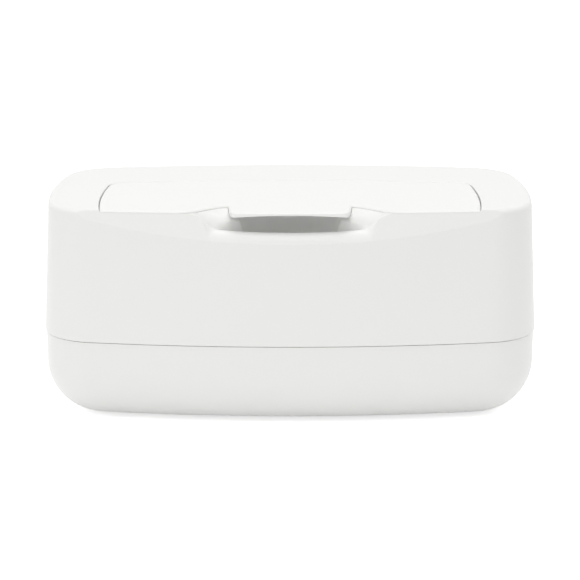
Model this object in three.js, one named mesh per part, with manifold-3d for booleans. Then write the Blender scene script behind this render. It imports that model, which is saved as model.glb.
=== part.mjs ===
// A wipes box: a rounded lower tray, a lift-off upper shell with a deck under its top,
// and a flush lid that is pulled up by its tongue over a scooped finger recess.
// Millimetres, +X to the right, -Y to the front, +Z up, origin under the middle of the box.

import * as THREE from 'three';
import { mergeVertices } from 'three/addons/utils/BufferGeometryUtils.js';
import Module from 'manifold-3d';

const wasm = await Module();
wasm.setup();

// Overall body
const LENGTH = 220;
const WIDTH = 127.5;
const BODY_HEIGHT = 94.6;
const TRAY_HEIGHT = 37.35;
const LONG_SIDE_RADIUS = 507;
const SHORT_SIDE_RADIUS = 242;
const CORNER_RADIUS = 26.6;
const WALL = 2.2;
const SEAT_GAP = 0.3;

// Lower tray
const BASE_FILLET_ACROSS = 25;
const BASE_FILLET_HIGH = 24;
const COVER_OVERHANG = 0.5;
const LIP_THICKNESS = 1.5;
const LIP_HEIGHT = 6;
const LIP_ROOT = 4;
const FOOT_RADIUS = 6;
const FOOT_PROUD = 0.6;
const FOOT_RECESS = 1;
const FOOT_PITCH_X = 136;
const FOOT_PITCH_Y = 50;

// Upper shell
const COVER_DRAFT = 3;
const TOP_ROUND = 2;
const FACET_SETBACK = 3.65;
const FACET_DROP = 13.2;
const FACET_RADIUS = 760;

// Lid
const LID_LENGTH = 165.5;
const LID_THICKNESS = 2.2;
const LID_GAP = 0.5;
const LID_ROUND = 0.6;
const LID_MIDDLE_Y = -16;
const LID_REAR_Y = 17.25;
const LID_SIDE_RADIUS = 280;
const LID_REAR_RADIUS = 480;
const LID_CORNER_RADIUS = 7;
const LID_EDGE_THICKNESS = 1.2;
const FRONT_RIM_WIDTH = 3.2;
const PIVOT_Y = 4.5;
const PIVOT_DEPTH = 2;
const PIVOT_PIN_RADIUS = 1.2;
const PIVOT_CLEARANCE = 0.2;
const PIVOT_PIN_REACH = 2;
const PIVOT_LUG_LENGTH = 5;
const PIVOT_LUG_INSET = 1.2;

// Tongue and finger scoop
const TONGUE_WIDTH = 53;
const TONGUE_TAPER = 1.5;
const TONGUE_OVERHANG = 1.9;
const TONGUE_CORNER = 3;
const TONGUE_BOW = 0.2;
const TONGUE_THIN_LENGTH = 8;
const TONGUE_TIP_THICKNESS = 1.1;
const SCOOP_WIDTH = 92;
const SCOOP_REACH = 14.5;
const WING_GAP = 0.3;
const CREST_DEPTH = 9.3;
const CREST_SETBACK = 0.2;
const RIM_ROLL = 2.4;
const RIM_FLARE_ACROSS = 5;
const RIM_FLARE_DOWN = 6.6;
const RIM_FLARE_ENDS = 0.5;
const BOWL_SAG = 0.18;
const BOWL_FLAT = 30.4;
const BOWL_EASE = 1.25;
const BOWL_END_WIDTH = 82;
const BOWL_END_REACH = 0.8;
const BOWL_END_SLOPE = 6;
const POCKET_EDGE_X = 34;
const POCKET_EDGE_DEPTH = 7.5;
const POCKET_EDGE_TURN_IN = 1.5;
const POCKET_EDGE_RISE = 0.4;
const POCKET_EDGE_SLOPE = 5;
const POCKET_BACK_EDGE_X = 18;
const POCKET_BACK_EDGE_DEPTH = 3.5;
const POCKET_BLEND = 2;
const POCKET_BACK_Y = -45;
const POCKET_DEPTH = 14;
const CATCH_RADIUS = 6;
const CATCH_THICKNESS = 1.4;

// Deck under the lid
const LEDGE_WIDTH = 3;
const DECK_DEPTH = 8;
const DECK_FRONT_Y = -38;
const TROUGH_DEPTH = 16;
const TROUGH_FRONT_Y = -0.5;
const PORT_LENGTH = 92;
const PORT_WIDTH = 21;

// Lid seal and soft dispensing insert
const SEAL_LENGTH = 122;
const SEAL_SPAN = 30;
const SEAL_WIDTH = 2.4;
const SEAL_HEIGHT = 3.2;
const SEAL_SKIRT = 1.2;
const SEAL_GRIP = 1.7;
const INSERT_FLANGE = 1.6;
const INSERT_FLANGE_THICKNESS = 0.8;
const INSERT_MEMBRANE = 1;
const INSERT_WALL = 1.7;
const SLOT_LENGTH = 64;
const SLOT_WIDTH = 9;
const SLIT_WIDTH = 0.8;
const SLIT_LENGTH = 4;
const SLIT_PITCH = 10;

// Levels and places worked out from the sizes above
const baseZ = FOOT_PROUD;
const trayTopZ = baseZ + TRAY_HEIGHT;
const coverBottomZ = trayTopZ + SEAT_GAP;
const topZ = baseZ + BODY_HEIGHT;
const coverHeight = topZ - coverBottomZ;
const facetSlope = (FACET_SETBACK + (COVER_DRAFT / coverHeight) * FACET_DROP) / FACET_DROP;
const facetTopY = WIDTH / 2 - COVER_DRAFT - FACET_SETBACK;
const ledgeDepth = LID_THICKNESS + SEAT_GAP;
const rimDepth = LID_EDGE_THICKNESS + SEAT_GAP;
const crestY = CREST_SETBACK - facetTopY;
const tongueTipY = -(facetTopY + TONGUE_OVERHANG);
const scoopBackY = -(facetTopY - SCOOP_REACH);
const deckY = (DECK_FRONT_Y + TROUGH_FRONT_Y) / 2;
const REACH = Math.max(LENGTH, WIDTH);

// Solids: closed geometry to a manifold and back

function toSolid(geometry) {
  const bare = geometry.clone();
  bare.deleteAttribute('normal');
  bare.deleteAttribute('uv');
  const merged = mergeVertices(bare, 1e-4);
  const vertProperties = new Float32Array(merged.attributes.position.array);
  const triVerts = new Uint32Array(merged.index.array);
  return new wasm.Manifold(new wasm.Mesh({ numProp: 3, vertProperties, triVerts }));
}

function toGeometry(solid) {
  const mesh = solid.getMesh();
  const geometry = new THREE.BufferGeometry();
  geometry.setAttribute('position', new THREE.BufferAttribute(mesh.vertProperties.slice(), 3));
  geometry.setIndex(new THREE.BufferAttribute(mesh.triVerts.slice(), 1));
  geometry.computeVertexNormals();
  return geometry;
}

// Outlines: lists of Vector2, counter-clockwise, without the first point repeated

function arc(centreX, centreY, radius, from, to, steps) {
  const points = [];
  for (let i = 0; i <= steps; i += 1) {
    const angle = from + ((to - from) * i) / steps;
    const x = centreX + radius * Math.cos(angle);
    points.push(new THREE.Vector2(x, centreY + radius * Math.sin(angle)));
  }
  return points;
}

// The corner arc that touches a side arc and an end arc from inside, with the three arcs' angles
function cornerBetween(side, end, cornerRadius) {
  const reachSide = side.radius - cornerRadius;
  const reachEnd = end.radius - cornerRadius;
  const dx = end.x - side.x;
  const dy = end.y - side.y;
  const apart = Math.hypot(dx, dy);
  const along = (apart * apart + reachSide * reachSide - reachEnd * reachEnd) / (2 * apart);
  const off = Math.sqrt(reachSide * reachSide - along * along);
  const x = side.x + (along * dx - off * dy) / apart;
  const y = side.y + (along * dy + off * dx) / apart;
  const sideAngle = Math.atan2(y - side.y, x - side.x);
  const endAngle = Math.atan2(y - end.y, x - end.x);
  return { x, y, sideAngle, endAngle };
}

function mirrorX(points) {
  return points.map((p) => new THREE.Vector2(-p.x, p.y)).reverse();
}

function mirrorY(points) {
  return points.map((p) => new THREE.Vector2(p.x, -p.y)).reverse();
}

function withoutRepeats(points) {
  return points.filter((p, i) => p.distanceTo(points[(i + 1) % points.length]) > 1e-4);
}

// Plan of the box: two shallow side arcs, two shallow end arcs and four corner arcs
function planOutline(inset) {
  const cornerRadius = CORNER_RADIUS - inset;
  const sideRadius = SHORT_SIDE_RADIUS - inset;
  const endRadius = LONG_SIDE_RADIUS - inset;
  const side = { x: LENGTH / 2 - SHORT_SIDE_RADIUS, y: 0, radius: sideRadius };
  const end = { x: 0, y: WIDTH / 2 - LONG_SIDE_RADIUS, radius: endRadius };
  const corner = cornerBetween(side, end, cornerRadius);
  const quarter = [
    ...arc(side.x, side.y, sideRadius, 0, corner.sideAngle, 4),
    ...arc(corner.x, corner.y, cornerRadius, corner.sideAngle, corner.endAngle, 10),
    ...arc(end.x, end.y, endRadius, corner.endAngle, Math.PI / 2, 8),
  ];
  const half = [...quarter, ...mirrorX(quarter)];
  return withoutRepeats([...half, ...mirrorY(half)]);
}

function offsetOutline(points, distance) {
  return points.map((point, i) => {
    const before = points[(i + points.length - 1) % points.length];
    const after = points[(i + 1) % points.length];
    const first = point.clone().sub(before).normalize();
    const second = after.clone().sub(point).normalize();
    const normal = new THREE.Vector2(first.y + second.y, -first.x - second.x);
    const scale = distance / (1 + first.dot(second));
    return point.clone().addScaledVector(normal, scale);
  });
}

function stadium(length, width, steps) {
  const radius = width / 2;
  const centre = length / 2 - radius;
  return [
    ...arc(centre, 0, radius, -Math.PI / 2, Math.PI / 2, steps),
    ...arc(-centre, 0, radius, Math.PI / 2, (3 * Math.PI) / 2, steps),
  ];
}

// Solids from outlines

function slab(points, lowZ, highZ) {
  const shape = new THREE.Shape(points);
  const geometry = new THREE.ExtrudeGeometry(shape, { depth: highZ - lowZ, bevelEnabled: false });
  geometry.translate(0, 0, lowZ);
  return toSolid(geometry);
}

function box(lowX, highX, lowY, highY, lowZ, highZ) {
  const geometry = new THREE.BoxGeometry(highX - lowX, highY - lowY, highZ - lowZ);
  geometry.translate((lowX + highX) / 2, (lowY + highY) / 2, (lowZ + highZ) / 2);
  return toSolid(geometry);
}

function cylinderAlongX(lowX, highX, y, z, radius, segments) {
  const geometry = new THREE.CylinderGeometry(radius, radius, highX - lowX, segments);
  geometry.rotateZ(Math.PI / 2);
  geometry.translate((lowX + highX) / 2, y, z);
  return toSolid(geometry);
}

// Skins a list of outlines that have the same number of points; place(point, i) sets them in space
function loft(outlines, place) {
  const count = outlines[0].length;
  const vertices = [];
  outlines.forEach((outline, level) => {
    outline.forEach((point) => vertices.push(...place(point, level).toArray()));
  });
  const faces = [];
  for (let level = 0; level + 1 < outlines.length; level += 1) {
    for (let i = 0; i < count; i += 1) {
      const a = level * count + i;
      const b = level * count + ((i + 1) % count);
      faces.push(a, b, b + count, a, b + count, a + count);
    }
  }
  const last = (outlines.length - 1) * count;
  THREE.ShapeUtils.triangulateShape(outlines[0], []).forEach(([a, b, c]) => {
    faces.push(c, b, a);
  });
  THREE.ShapeUtils.triangulateShape(outlines[outlines.length - 1], []).forEach(([a, b, c]) => {
    faces.push(a + last, b + last, c + last);
  });
  const geometry = new THREE.BufferGeometry();
  geometry.setAttribute('position', new THREE.Float32BufferAttribute(vertices, 3));
  geometry.setIndex(faces);
  return toSolid(geometry);
}

function loftUp(levels) {
  const outlines = levels.map((level) => level.outline);
  return loft(outlines, (point, i) => new THREE.Vector3(point.x, point.y, levels[i].z));
}

function both(makeSide) {
  return makeSide(-1).add(makeSide(1));
}

// Lower tray: elliptical base fillet, upright wall, and the lip that locates the upper shell

const filletAcross = Math.min(BASE_FILLET_ACROSS, CORNER_RADIUS - COVER_OVERHANG - 1);
const FILLET_STEPS = 10;

function trayBowl(shell, floorZ, mouthZ) {
  const levels = [];
  for (let i = 0; i <= FILLET_STEPS; i += 1) {
    const angle = (i / FILLET_STEPS) * (Math.PI / 2);
    const inset = shell + (filletAcross - shell) * (1 - Math.sin(angle));
    const z = floorZ + (BASE_FILLET_HIGH - shell) * (1 - Math.cos(angle));
    levels.push({ outline: planOutline(COVER_OVERHANG + inset), z });
  }
  levels.push({ outline: planOutline(COVER_OVERHANG + shell), z: mouthZ });
  return loftUp(levels);
}

function coverInset(z) {
  return (COVER_DRAFT * (z - coverBottomZ)) / coverHeight;
}

function ring(outerLow, outerHigh, innerLow, innerHigh, lowZ, highZ) {
  const outer = loftUp([
    { outline: planOutline(outerLow), z: lowZ },
    { outline: planOutline(outerHigh), z: highZ },
  ]);
  const inner = loftUp([
    { outline: planOutline(innerLow), z: lowZ - 1 },
    { outline: planOutline(innerHigh), z: highZ + 1 },
  ]);
  return outer.subtract(inner);
}

function footPlaces() {
  const places = [];
  for (const side of [-1, 1]) {
    for (const end of [-1, 1]) {
      places.push({ x: (side * FOOT_PITCH_X) / 2, y: (end * FOOT_PITCH_Y) / 2, side, end });
    }
  }
  return places;
}

function footDisc(place, radius, lowZ, highZ) {
  return slab(arc(place.x, place.y, radius, 0, 2 * Math.PI * (31 / 32), 31), lowZ, highZ);
}

function lowerTray() {
  const lipOuter = WALL + SEAT_GAP;
  const lipInner = lipOuter + LIP_THICKNESS;
  const lipTopZ = trayTopZ + LIP_HEIGHT;
  const drawn = coverInset(lipTopZ);
  let tray = trayBowl(0, baseZ, trayTopZ);
  tray = tray.subtract(trayBowl(WALL, baseZ + WALL, trayTopZ + 1));
  const root = ring(COVER_OVERHANG + WALL / 2, COVER_OVERHANG + WALL / 2, lipInner, lipInner,
    trayTopZ - LIP_ROOT, trayTopZ);
  const lip = ring(lipOuter, lipOuter + drawn, lipInner, lipInner + drawn,
    trayTopZ - LIP_ROOT / 2, lipTopZ);
  tray = tray.add(root).add(lip);
  for (const place of footPlaces()) {
    const recess = footDisc(place, FOOT_RADIUS + SEAT_GAP, baseZ - 1, baseZ + FOOT_RECESS);
    tray = tray.subtract(recess);
  }
  return tray;
}

// Facet: the space behind the shallow sloping face across the front's top edge

// How far the facet curves back at a place across
function bow(x) {
  return FACET_RADIUS - Math.sqrt(FACET_RADIUS * FACET_RADIUS - x * x);
}

function facetFrontY(x, z, inset) {
  return bow(x) - (facetTopY + facetSlope * (topZ - z) - inset);
}

function behindFacet(inset) {
  const half = LENGTH / 2 + 5;
  const STEPS = 24;
  const levels = [coverBottomZ - 5, topZ + 5].map((z) => {
    const outline = [];
    for (let i = 0; i <= STEPS; i += 1) {
      const x = -half + (2 * half * i) / STEPS;
      outline.push(new THREE.Vector2(x, facetFrontY(x, z, inset)));
    }
    outline.push(new THREE.Vector2(half, WIDTH), new THREE.Vector2(-half, WIDTH));
    return { outline, z };
  });
  return loftUp(levels);
}

// Lid outline in plan: bowed sides and rear, small rear corners, open past the front

function lidOutline(grow, frontY) {
  const cornerRadius = LID_CORNER_RADIUS + grow;
  const sideRadius = LID_SIDE_RADIUS + grow;
  const endRadius = LID_REAR_RADIUS + grow;
  const side = { x: LID_LENGTH / 2 - LID_SIDE_RADIUS, y: LID_MIDDLE_Y, radius: sideRadius };
  const end = { x: 0, y: LID_REAR_Y - LID_REAR_RADIUS, radius: endRadius };
  const corner = cornerBetween(side, end, cornerRadius);
  const frontAngle = Math.asin((frontY - side.y) / sideRadius);
  const half = [
    ...arc(side.x, side.y, sideRadius, frontAngle, corner.sideAngle, 8),
    ...arc(corner.x, corner.y, cornerRadius, corner.sideAngle, corner.endAngle, 6),
    ...arc(end.x, end.y, endRadius, corner.endAngle, Math.PI / 2, 8),
  ];
  return withoutRepeats([...half, ...mirrorX(half)]);
}

// The notch that the scoop takes out of the lid's front edge: a curved wing on each side

function wingPoint(t, side) {
  const startX = SCOOP_WIDTH / 2;
  const startY = facetFrontY(startX, topZ, 0);
  const endX = TONGUE_WIDTH / 2;
  const run = startX - endX;
  const wing = new THREE.CubicBezierCurve(
    new THREE.Vector2(startX, startY),
    new THREE.Vector2(startX - 0.4 * run, startY),
    new THREE.Vector2(endX + 0.48 * run, scoopBackY - 0.3 * SCOOP_REACH),
    new THREE.Vector2(endX, scoopBackY),
  );
  const point = wing.getPoint(t);
  point.x *= side;
  return point;
}

const WING_STEPS = 10;

function scoopNotch(shrink) {
  const right = [new THREE.Vector2(SCOOP_WIDTH / 2, -WIDTH)];
  for (let i = 0; i <= WING_STEPS; i += 1) {
    right.push(wingPoint(i / WING_STEPS, 1));
  }
  return offsetOutline([...right, ...mirrorX(right)], -shrink);
}

function tongueOutline(grow, rootY) {
  const tipHalf = TONGUE_WIDTH / 2 - TONGUE_TAPER + grow;
  const rootHalf = TONGUE_WIDTH / 2 + grow;
  const corner = TONGUE_CORNER + grow;
  const tipY = tongueTipY - grow;
  const half = [
    new THREE.Vector2(0, tipY),
    new THREE.Vector2((tipHalf - corner) / 2, tipY + TONGUE_BOW / 4),
    ...arc(tipHalf - corner, tipY + TONGUE_BOW + corner, corner, -Math.PI / 2, 0, 5),
    new THREE.Vector2(rootHalf, rootY),
  ];
  return withoutRepeats([...half, ...mirrorX(half)]);
}

// The lid's outline carried up to the top, where it flares out or draws in along a rounded edge
function roundedPlate(grow, flare, lowZ, highZ) {
  const levels = [{ outline: lidOutline(grow, -WIDTH), z: lowZ }];
  const STEPS = 3;
  for (let i = 0; i <= STEPS; i += 1) {
    const angle = (i / STEPS) * (Math.PI / 2);
    const z = topZ - LID_ROUND * (1 - Math.sin(angle));
    const moved = grow + flare * LID_ROUND * (1 - Math.cos(angle));
    levels.push({ outline: lidOutline(moved, -WIDTH), z });
  }
  if (highZ > topZ) {
    levels.push({ outline: lidOutline(grow + flare * LID_ROUND, -WIDTH), z: highZ });
  }
  return loftUp(levels);
}

// Everything the lid and its gap take up between two levels
function lidRoom(lowZ, highZ) {
  const plate = roundedPlate(LID_GAP, 1, lowZ, highZ);
  const notch = slab(scoopNotch(WING_GAP), lowZ - 1, highZ + 1);
  const tongue = slab(tongueOutline(WING_GAP, scoopBackY + 2), lowZ, highZ);
  return plate.subtract(notch).add(tongue);
}

// Strip just behind the facet, where the lid is thin and the shell's front rim stands up
function frontStrip(width, lowZ, highZ) {
  return box(-REACH, REACH, -WIDTH, WIDTH, lowZ, highZ).subtract(behindFacet(width));
}

// Finger scoop: a bowl in the shell's top that rolls over a crest into the facet. Its sections lie
// on lines that are bowed like the facet; y is where such a line crosses the middle.

// Half width of the scoop along such a line, from the wing's curve
function scoopHalfWidth(y) {
  let low = 0;
  let high = 1;
  for (let i = 0; i < 30; i += 1) {
    const middle = (low + high) / 2;
    const point = wingPoint(middle, 1);
    if (point.y - bow(point.x) < y) {
      low = middle;
    } else {
      high = middle;
    }
  }
  return wingPoint(low, 1).x;
}

// 0 to 1 along an S curve
function easeIn(share) {
  return 0.5 - 0.5 * Math.cos(Math.PI * Math.min(1, Math.max(0, share)));
}

function sag(x) {
  return 1 - BOWL_SAG * (x / BOWL_FLAT) ** 2;
}

// Depth along the rim: nearly flat in the middle, then easing up to the lid's level at its end
function rimProfile(x, end, middle, outside) {
  const flat = Math.min(BOWL_FLAT + outside, end - BOWL_END_SLOPE);
  const share = sag(x) * (1 - easeIn((x - flat) / (end - flat))) ** BOWL_EASE;
  return rimDepth + (middle - rimDepth) * share;
}

// Depth behind the rim: a shallow flank from the lid's level in to an edge, then a steep pocket
function pocketProfile(x, end, middle, behind) {
  const turnedIn = Math.max(POCKET_BACK_EDGE_X, POCKET_EDGE_X - POCKET_EDGE_TURN_IN * behind);
  const edge = Math.min(turnedIn, end - WALL);
  const risen = Math.max(POCKET_BACK_EDGE_DEPTH, POCKET_EDGE_DEPTH - POCKET_EDGE_RISE * behind);
  const flank = rimDepth + (risen - rimDepth) * Math.min(1, (end - x) / (end - edge));
  return flank + (middle * sag(x) - flank) * easeIn((edge - x) / POCKET_EDGE_SLOPE);
}

function scoopSection(y, grow) {
  const outside = Math.max(0, crestY - y);
  const behind = Math.max(0, y - crestY);
  const outTurn = Math.min(1, outside / RIM_FLARE_ACROSS);
  const inTurn = Math.min(1, behind / Math.max(0.1, RIM_ROLL - grow));
  const flare = RIM_FLARE_DOWN * (1 - Math.sqrt(1 - outTurn * outTurn));
  const roll = 1 - Math.sqrt(1 - inTurn * inTurn);
  const middle = CREST_DEPTH + (POCKET_DEPTH - CREST_DEPTH) * roll;
  const spread = ((SCOOP_WIDTH - BOWL_END_WIDTH) / 2) * Math.exp(-outside / BOWL_END_REACH);
  const end = Math.min(BOWL_END_WIDTH / 2 + spread, scoopHalfWidth(y));
  const blend = easeIn(behind / POCKET_BLEND);
  const half = [];
  const STEPS = 20;
  for (let i = 0; i <= STEPS; i += 1) {
    const x = (end * i) / STEPS;
    const rim = rimProfile(x, end, middle, outside);
    const bowl = rim + (pocketProfile(x, end, middle, behind) - rim) * blend;
    const lip = flare * (1 + RIM_FLARE_ENDS * Math.min(1, x / BOWL_FLAT) ** 2);
    half.push(new THREE.Vector2(x * (1 + grow / end), -(bowl + lip + grow)));
  }
  half.push(new THREE.Vector2(end + grow, TOP_ROUND));
  return withoutRepeats([...half, ...mirrorX(half)]);
}

// The scoop's space, or its outer wall when grown; sections lie closest where the rim curves most
function scoopFunnel(grow) {
  const backY = POCKET_BACK_Y + grow;
  const rollY = crestY + Math.max(0.1, RIM_ROLL - grow);
  const outer = [1.2, 0.98, 0.9, 0.77, 0.6, 0.4, 0.2].map((share) => crestY - share * RIM_FLARE_ACROSS);
  const inner = [0, 0.35, 0.65, 0.85, 0.96, 1].map((share) => crestY + share * (rollY - crestY));
  const rest = [0.2, 0.4, 0.6, 0.8, 1].map((share) => rollY + share * (backY - rollY));
  const places = [...outer, ...inner, ...rest].reverse();
  const sections = places.map((y) => scoopSection(y, grow));
  return loft(sections, (point, i) => {
    return new THREE.Vector3(point.x, places[i] + bow(point.x), topZ + point.y);
  });
}

// Upper shell

function coverBody(inset, lowZ) {
  const levels = [{ outline: planOutline(inset + coverInset(lowZ)), z: lowZ }];
  const highZ = topZ - inset;
  const round = Math.max(0.2, TOP_ROUND - inset);
  const STEPS = 3;
  for (let i = 0; i <= STEPS; i += 1) {
    const angle = (i / STEPS) * (Math.PI / 2);
    const z = highZ - round * (1 - Math.sin(angle));
    const drawn = coverInset(z) + round * (1 - Math.cos(angle));
    levels.push({ outline: planOutline(inset + drawn), z });
  }
  return loftUp(levels).intersect(behindFacet(inset));
}

function deckOutline(grow) {
  return lidOutline(grow - LEDGE_WIDTH, DECK_FRONT_Y - grow);
}

function behindLine(solid, lineY) {
  return solid.intersect(box(-REACH, REACH, lineY, REACH, 0, 2 * topZ));
}

function troughSolid(grow, depth, highZ) {
  const whole = slab(lidOutline(LID_GAP + grow, -WIDTH), topZ - depth, highZ);
  return behindLine(whole, TROUGH_FRONT_Y - grow);
}

function atDeck(points) {
  return points.map((p) => new THREE.Vector2(p.x, p.y + deckY));
}

function upperShell() {
  const body = coverBody(0, coverBottomZ);
  const hollow = coverBody(WALL, coverBottomZ - 1);
  const above = topZ + 10;

  const ledgeWall = slab(lidOutline(LID_GAP + WALL, -WIDTH), topZ - ledgeDepth - WALL, above);
  const deckWall = slab(deckOutline(WALL), topZ - DECK_DEPTH - WALL, above);
  const troughWall = troughSolid(WALL, TROUGH_DEPTH + WALL, above);
  const walls = ledgeWall.add(deckWall).add(troughWall).add(scoopFunnel(WALL));
  let shell = body.subtract(hollow.subtract(walls));

  const seatBehindRim = lidRoom(topZ - ledgeDepth, above).intersect(behindFacet(FRONT_RIM_WIDTH));
  shell = shell.subtract(lidRoom(topZ - rimDepth, above)).subtract(seatBehindRim);
  shell = shell.subtract(slab(deckOutline(0), topZ - DECK_DEPTH, above));
  shell = shell.subtract(troughSolid(0, TROUGH_DEPTH, above));
  shell = shell.subtract(scoopFunnel(0));
  shell = shell.subtract(slab(scoopNotch(0), topZ - rimDepth, above));
  shell = shell.subtract(slab(atDeck(stadium(PORT_LENGTH, PORT_WIDTH, 12)), 0, above));

  const holeRadius = PIVOT_PIN_RADIUS + PIVOT_CLEARANCE;
  const holes = both((side) => {
    const inner = LID_LENGTH / 2 - PIVOT_LUG_LENGTH;
    const outer = LID_LENGTH / 2 + LID_GAP + WALL + 2;
    const ends = side > 0 ? [inner, outer] : [-outer, -inner];
    return cylinderAlongX(ends[0], ends[1], PIVOT_Y, topZ - PIVOT_DEPTH, holeRadius, 24);
  });
  return shell.subtract(holes);
}

// Lid: plate with thin front edge, tongue, pivot lugs and pins, seal skirts and a catch

function stadiumRing(length, width, thickness, lowZ, highZ) {
  const outer = atDeck(stadium(length + thickness, width + thickness, 16));
  const inner = atDeck(stadium(length - thickness, width - thickness, 16));
  return slab(outer, lowZ, highZ).subtract(slab(inner, lowZ - 1, highZ + 1));
}

function lidPivot(side) {
  const edge = LID_LENGTH / 2 - PIVOT_LUG_INSET;
  const lug = [edge - PIVOT_LUG_LENGTH, edge];
  const pin = [edge - 1, edge + 1 + LID_GAP + PIVOT_PIN_REACH];
  const z = topZ - PIVOT_DEPTH;
  const ends = (pair) => (side > 0 ? pair : [-pair[1], -pair[0]]);
  const body = cylinderAlongX(...ends(lug), PIVOT_Y, z, PIVOT_DEPTH, 20);
  return body.add(cylinderAlongX(...ends(pin), PIVOT_Y, z, PIVOT_PIN_RADIUS, 24));
}

// The wedge under the tongue that thins it towards its tip, and more in the middle than at its sides
function tongueUnderside() {
  const half = TONGUE_WIDTH / 2 + 1;
  const STEPS = 10;
  const wedges = [];
  for (let i = 0; i <= STEPS; i += 1) {
    const off = Math.min(1, Math.abs((2 * i) / STEPS - 1) * 1.1) ** 2;
    const tip = TONGUE_TIP_THICKNESS + (LID_THICKNESS - TONGUE_TIP_THICKNESS) * off;
    wedges.push([
      new THREE.Vector2(tongueTipY - 1, -LID_THICKNESS - 1),
      new THREE.Vector2(tongueTipY + TONGUE_THIN_LENGTH, -LID_THICKNESS - 1),
      new THREE.Vector2(tongueTipY + TONGUE_THIN_LENGTH, -LID_THICKNESS),
      new THREE.Vector2(tongueTipY - 1, -tip),
    ]);
  }
  return loft(wedges, (point, i) => {
    return new THREE.Vector3(half * ((2 * i) / STEPS - 1), point.x, topZ + point.y);
  });
}

function lidPanel() {
  const underZ = topZ - LID_THICKNESS;
  const notch = slab(scoopNotch(0), underZ - 1, topZ + 1);
  const plate = roundedPlate(0, -1, underZ, topZ).subtract(notch);
  const thin = frontStrip(FRONT_RIM_WIDTH + LID_GAP, underZ - 1, topZ - LID_EDGE_THICKNESS);
  let lid = plate.intersect(behindFacet(0)).subtract(thin);
  const tongue = slab(tongueOutline(0, scoopBackY + 2), underZ, topZ);
  lid = lid.add(tongue.subtract(tongueUnderside()));

  const skirtTop = underZ + 0.5;
  const channel = SEAL_WIDTH + 2 * (SEAT_GAP + SEAL_SKIRT);
  const sealTopZ = topZ - DECK_DEPTH + SEAT_GAP + SEAL_HEIGHT;
  const rootZ = sealTopZ + SEAT_GAP;
  const skirt = stadiumRing(SEAL_LENGTH, SEAL_SPAN, channel, sealTopZ - SEAL_GRIP, skirtTop);
  const groove = stadiumRing(SEAL_LENGTH, SEAL_SPAN, SEAL_WIDTH + 2 * SEAT_GAP, 0, rootZ);
  lid = lid.add(skirt.subtract(groove));

  const catchY = POCKET_BACK_Y - SEAT_GAP - CATCH_THICKNESS;
  const tab = new THREE.CylinderGeometry(CATCH_RADIUS, CATCH_RADIUS, CATCH_THICKNESS, 32);
  tab.scale(1, 1, 0.5);
  tab.translate(0, catchY + CATCH_THICKNESS / 2, underZ);
  lid = lid.add(toSolid(tab).intersect(box(-REACH, REACH, -WIDTH, WIDTH, 0, underZ + 0.5)));
  const flushTop = box(-REACH, REACH, -WIDTH, WIDTH, 0, topZ);
  return lid.add(both(lidPivot)).intersect(flushTop);
}

// Soft parts: the ring that seals the lid on the deck, and the insert that the wipes come through

function lidSeal() {
  const lowZ = topZ - DECK_DEPTH + SEAT_GAP;
  return stadiumRing(SEAL_LENGTH, SEAL_SPAN, SEAL_WIDTH, lowZ, lowZ + SEAL_HEIGHT);
}

function dispensingInsert() {
  const deckTopZ = topZ - DECK_DEPTH;
  const flangeLowZ = deckTopZ + SEAT_GAP;
  const flangeHighZ = flangeLowZ + INSERT_FLANGE_THICKNESS;
  const flange = atDeck(stadium(PORT_LENGTH + 2 * INSERT_FLANGE, PORT_WIDTH + 2 * INSERT_FLANGE, 12));
  const neck = atDeck(stadium(PORT_LENGTH - 2 * SEAT_GAP, PORT_WIDTH - 2 * SEAT_GAP, 12));
  const inside = 2 * (SEAT_GAP + INSERT_WALL);
  const hollow = atDeck(stadium(PORT_LENGTH - inside, PORT_WIDTH - inside, 12));
  const neckLowZ = deckTopZ - WALL;
  let insert = slab(flange, flangeLowZ, flangeHighZ).add(slab(neck, neckLowZ, flangeHighZ));
  insert = insert.subtract(slab(hollow, neckLowZ + INSERT_MEMBRANE, flangeHighZ + 1));
  insert = insert.subtract(slab(atDeck(stadium(SLOT_LENGTH, SLOT_WIDTH, 10)), 0, topZ));
  const slits = Math.floor((SLOT_LENGTH / 2 - SLOT_WIDTH / 2) / SLIT_PITCH);
  const halfSpan = SLOT_WIDTH / 2 + SLIT_LENGTH;
  for (let i = -slits; i <= slits; i += 1) {
    const x = i * SLIT_PITCH;
    const lowY = deckY - halfSpan;
    const highY = deckY + halfSpan;
    insert = insert.subtract(box(x - SLIT_WIDTH / 2, x + SLIT_WIDTH / 2, lowY, highY, 0, topZ));
  }
  return insert;
}

function foot(place) {
  return footDisc(place, FOOT_RADIUS, 0, baseZ + FOOT_RECESS - SEAT_GAP);
}

// Materials and the assembled box

const whiteShell = new THREE.MeshStandardMaterial({ color: 0xf4f4f2, roughness: 0.45, metalness: 0 });
const whiteTray = new THREE.MeshStandardMaterial({ color: 0xf1f1ef, roughness: 0.45, metalness: 0 });
const whiteLid = new THREE.MeshStandardMaterial({ color: 0xf6f6f4, roughness: 0.42, metalness: 0 });
const softSeal = new THREE.MeshStandardMaterial({ color: 0xd9dbdc, roughness: 0.7, metalness: 0 });
const softFoot = new THREE.MeshStandardMaterial({ color: 0xc8cacb, roughness: 0.8, metalness: 0 });

function part(name, solid, material) {
  const mesh = new THREE.Mesh(toGeometry(solid), material);
  mesh.name = name;
  return mesh;
}

const wipesBox = new THREE.Group();

const base = new THREE.Group();
base.add(part('lower_tray', lowerTray(), whiteTray));
for (const place of footPlaces()) {
  const end = place.end < 0 ? 'front' : 'rear';
  const side = place.side < 0 ? 'left' : 'right';
  base.add(part(`foot_${end}_${side}`, foot(place), softFoot));
}
wipesBox.add(base);

const cover = new THREE.Group();
cover.add(part('upper_shell', upperShell(), whiteShell));
cover.add(part('dispensing_insert', dispensingInsert(), softSeal));
wipesBox.add(cover);

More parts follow.
